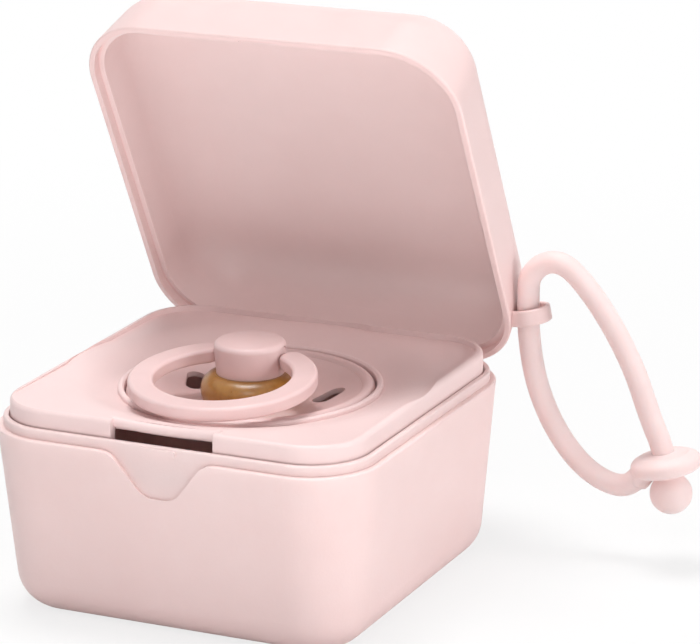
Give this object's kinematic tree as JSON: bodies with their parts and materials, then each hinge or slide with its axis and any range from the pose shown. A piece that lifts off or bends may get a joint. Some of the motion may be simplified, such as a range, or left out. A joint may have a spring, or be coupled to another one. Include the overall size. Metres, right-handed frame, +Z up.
{
  "type": "pacifier steriliser case",
  "caption": "Soft-cornered square case with a leaning hinged lid, strap loop, and a drop-in tray that holds a round pacifier with an amber teat over a water well.",
  "frame": {"origin": "middle of the case's flat underside", "axes": "+Z up out of the base, +Y towards the lid's hinge, +X towards the side with the strap"},
  "size_m": [0.1058, 0.084, 0.0995],
  "materials": {
    "case_plastic": "satin, soft pink",
    "tray_plastic": "satin, soft pink",
    "strap_silicone": "soft matte silicone",
    "pin_plastic": "satin",
    "pacifier_plastic": "fine matte",
    "teat_rubber": "amber natural rubber, slightly see-through"
  },
  "bodies": {
    "base": {"base_shell": "case_plastic", "hinge_pin": "pin_plastic"},
    "lid": {"lid": "case_plastic", "strap_cord": "strap_silicone", "strap_eyelet": "strap_silicone", "strap_ball": "strap_silicone"},
    "tray": {"tray": "tray_plastic"},
    "pacifier": {"pacifier_shield": "pacifier_plastic", "pacifier_teat": "teat_rubber", "pacifier_knob": "pacifier_plastic"},
    "ring": {"pacifier_ring": "pacifier_plastic"}
  },
  "joints": [
    {"name": "lid_hinge", "type": "hinge", "parent": "base", "child": "lid", "pos_m": [0, 0.0354, 0.0318], "axis": [-1, 0, 0], "range_deg": [-63.3, 31.5]},
    {"name": "tray_lift", "type": "slide", "parent": "base", "child": "tray", "axis": [0, 0, 1], "range_m": [0, 0.024]},
    {"name": "pacifier_lift", "type": "slide", "parent": "tray", "child": "pacifier", "axis": [0, 0, 1], "range_m": [0, 0.022]},
    {"name": "ring_flip", "type": "hinge", "parent": "pacifier", "child": "ring", "pos_m": [0, 0, 0.04065], "axis": [-0.998, -0.0628, 0], "range_deg": [0, 174]}
  ],
  "couplings": [
    {"joint": "tray_lift", "follows": "pacifier_lift", "ratio": 1.0909}
  ]
}
